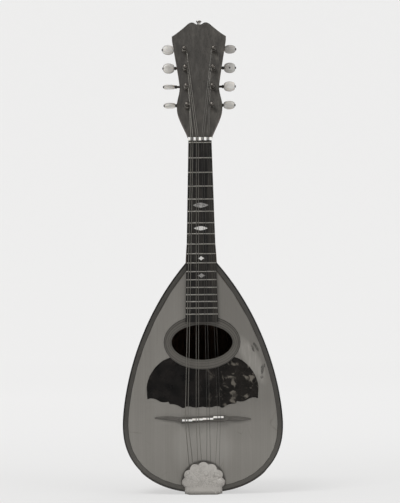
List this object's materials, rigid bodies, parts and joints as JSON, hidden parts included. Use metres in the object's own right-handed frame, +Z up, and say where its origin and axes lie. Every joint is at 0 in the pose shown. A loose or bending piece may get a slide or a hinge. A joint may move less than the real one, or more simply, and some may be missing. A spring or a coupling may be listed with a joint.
{
  "type": "bowl back mandolin",
  "caption": "Bowl back mandolin with a ribbed bowl, oval soundhole, floating bridge, shell tailpiece and paired strings wound on geared tuners.",
  "frame": {"origin": "the tail end of the body, on its centre line and in the plane of the soundboard face, where a display stand holds it", "axes": "+X to the right seen from the front, +Y from the soundboard into the bowl, +Z up along the neck"},
  "size_m": [0.193, 0.1492, 0.5743],
  "materials": {
    "rosewood_ribs": "polished ribs",
    "block_wood": "bare sanded",
    "spruce_top": "aged satin varnish",
    "dark_band": "satin varnish",
    "ring_inlay": "satin varnish with thin rings",
    "tortoiseshell": "mottled, glossy",
    "neck_wood": "satin varnish",
    "fingerboard_wood": "oiled",
    "pearl": "polished shell",
    "headstock_wood": "satin varnish",
    "bone": "polished bone",
    "bridge_wood": "oiled",
    "plated_metal": "satin plated",
    "tuner_brass": "aged brass",
    "tuner_steel": "worn steel",
    "ivory_button": "ivory coloured",
    "wound_string": "wound wire",
    "plain_string": "plain wire"
  },
  "bodies": {
    "root": {"bowl": "rosewood_ribs", "neck_block": "block_wood", "tail_block": "block_wood", "lining_left": "block_wood", "lining_right": "block_wood", "brace_upper": "block_wood", "brace_middle": "block_wood", "brace_lower": "block_wood", "soundboard": "spruce_top", "edge_binding": "dark_band", "rosette": "ring_inlay", "pickguard": "tortoiseshell", "tail_clasp": "rosewood_ribs", "neck": "neck_wood", "fingerboard": "fingerboard_wood", "fret_marker_5": "pearl", "fret_marker_7": "pearl", "fret_marker_10": "pearl", "fret_marker_12": "pearl", "headstock_veneer": "headstock_wood", "strap_button": "bone", "nut": "bone", "bridge": "bridge_wood", "bridge_saddle": "bone", "tailpiece_base": "plated_metal", "tuner_plate_left": "tuner_brass", "tuner_plate_right": "tuner_brass", "string_g1": "wound_string", "string_g2": "wound_string", "string_d1": "wound_string", "string_d2": "wound_string", "string_a1": "plain_string", "string_a2": "plain_string", "string_e1": "plain_string", "string_e2": "plain_string"},
    "worm_g1": {"worm_shaft_g1": "tuner_steel", "tuning_button_g1": "ivory_button"},
    "post_g1": {"string_post_g1": "tuner_steel"},
    "worm_g2": {"worm_shaft_g2": "tuner_steel", "tuning_button_g2": "ivory_button"},
    "post_g2": {"string_post_g2": "tuner_steel"},
    "worm_d1": {"worm_shaft_d1": "tuner_steel", "tuning_button_d1": "ivory_button"},
    "post_d1": {"string_post_d1": "tuner_steel"},
    "worm_d2": {"worm_shaft_d2": "tuner_steel", "tuning_button_d2": "ivory_button"},
    "post_d2": {"string_post_d2": "tuner_steel"},
    "worm_a1": {"worm_shaft_a1": "tuner_steel", "tuning_button_a1": "ivory_button"},
    "post_a1": {"string_post_a1": "tuner_steel"},
    "worm_a2": {"worm_shaft_a2": "tuner_steel", "tuning_button_a2": "ivory_button"},
    "post_a2": {"string_post_a2": "tuner_steel"},
    "worm_e1": {"worm_shaft_e1": "tuner_steel", "tuning_button_e1": "ivory_button"},
    "post_e1": {"string_post_e1": "tuner_steel"},
    "worm_e2": {"worm_shaft_e2": "tuner_steel", "tuning_button_e2": "ivory_button"},
    "post_e2": {"string_post_e2": "tuner_steel"},
    "cover": {"tailpiece_cover": "plated_metal"}
  },
  "joints": [
    {"name": "button_turn_g1", "type": "hinge", "parent": "root", "child": "worm_g1", "pos_m": [-0.015, 0.02842, 0.46745], "axis": [1, 0, 0], "continuous": true},
    {"name": "post_turn_g1", "type": "hinge", "parent": "root", "child": "post_g1", "pos_m": [-0.015, 0.00894, 0.46563], "axis": [0, -0.9659, 0.2588], "continuous": true},
    {"name": "button_turn_g2", "type": "hinge", "parent": "root", "child": "worm_g2", "pos_m": [-0.01593, 0.03456, 0.49036], "axis": [1, 0, 0], "continuous": true},
    {"name": "post_turn_g2", "type": "hinge", "parent": "root", "child": "post_g2", "pos_m": [-0.01593, 0.01508, 0.48854], "axis": [0, -0.9659, 0.2588], "continuous": true},
    {"name": "button_turn_d1", "type": "hinge", "parent": "root", "child": "worm_d1", "pos_m": [-0.01687, 0.0407, 0.51327], "axis": [1, 0, 0], "continuous": true},
    {"name": "post_turn_d1", "type": "hinge", "parent": "root", "child": "post_d1", "pos_m": [-0.01687, 0.02121, 0.51145], "axis": [0, -0.9659, 0.2588], "continuous": true},
    {"name": "button_turn_d2", "type": "hinge", "parent": "root", "child": "worm_d2", "pos_m": [-0.0178, 0.04684, 0.53617], "axis": [1, 0, 0], "continuous": true},
    {"name": "post_turn_d2", "type": "hinge", "parent": "root", "child": "post_d2", "pos_m": [-0.0178, 0.02735, 0.53436], "axis": [0, -0.9659, 0.2588], "continuous": true},
    {"name": "button_turn_a1", "type": "hinge", "parent": "root", "child": "worm_a1", "pos_m": [0.0178, 0.04684, 0.53617], "axis": [1, 0, 0], "continuous": true},
    {"name": "post_turn_a1", "type": "hinge", "parent": "root", "child": "post_a1", "pos_m": [0.0178, 0.02735, 0.53436], "axis": [0, -0.9659, 0.2588], "continuous": true},
    {"name": "button_turn_a2", "type": "hinge", "parent": "root", "child": "worm_a2", "pos_m": [0.01687, 0.0407, 0.51327], "axis": [1, 0, 0], "continuous": true},
    {"name": "post_turn_a2", "type": "hinge", "parent": "root", "child": "post_a2", "pos_m": [0.01687, 0.02121, 0.51145], "axis": [0, -0.9659, 0.2588], "continuous": true},
    {"name": "button_turn_e1", "type": "hinge", "parent": "root", "child": "worm_e1", "pos_m": [0.01593, 0.03456, 0.49036], "axis": [1, 0, 0], "continuous": true},
    {"name": "post_turn_e1", "type": "hinge", "parent": "root", "child": "post_e1", "pos_m": [0.01593, 0.01508, 0.48854], "axis": [0, -0.9659, 0.2588], "continuous": true},
    {"name": "button_turn_e2", "type": "hinge", "parent": "root", "child": "worm_e2", "pos_m": [0.015, 0.02842, 0.46745], "axis": [1, 0, 0], "continuous": true},
    {"name": "post_turn_e2", "type": "hinge", "parent": "root", "child": "post_e2", "pos_m": [0.015, 0.00894, 0.46563], "axis": [0, -0.9659, 0.2588], "continuous": true},
    {"name": "cover_slide", "type": "slide", "parent": "root", "child": "cover", "axis": [0, 0.1564, -0.9877], "range_m": [0, 0.045]}
  ],
  "couplings": [
    {"joint": "post_turn_g1", "follows": "button_turn_g1", "ratio": 0.071429},
    {"joint": "post_turn_g2", "follows": "button_turn_g2", "ratio": 0.071429},
    {"joint": "post_turn_d1", "follows": "button_turn_d1", "ratio": 0.071429},
    {"joint": "post_turn_d2", "follows": "button_turn_d2", "ratio": 0.071429},
    {"joint": "post_turn_a1", "follows": "button_turn_a1", "ratio": 0.071429},
    {"joint": "post_turn_a2", "follows": "button_turn_a2", "ratio": 0.071429},
    {"joint": "post_turn_e1", "follows": "button_turn_e1", "ratio": 0.071429},
    {"joint": "post_turn_e2", "follows": "button_turn_e2", "ratio": 0.071429}
  ]
}
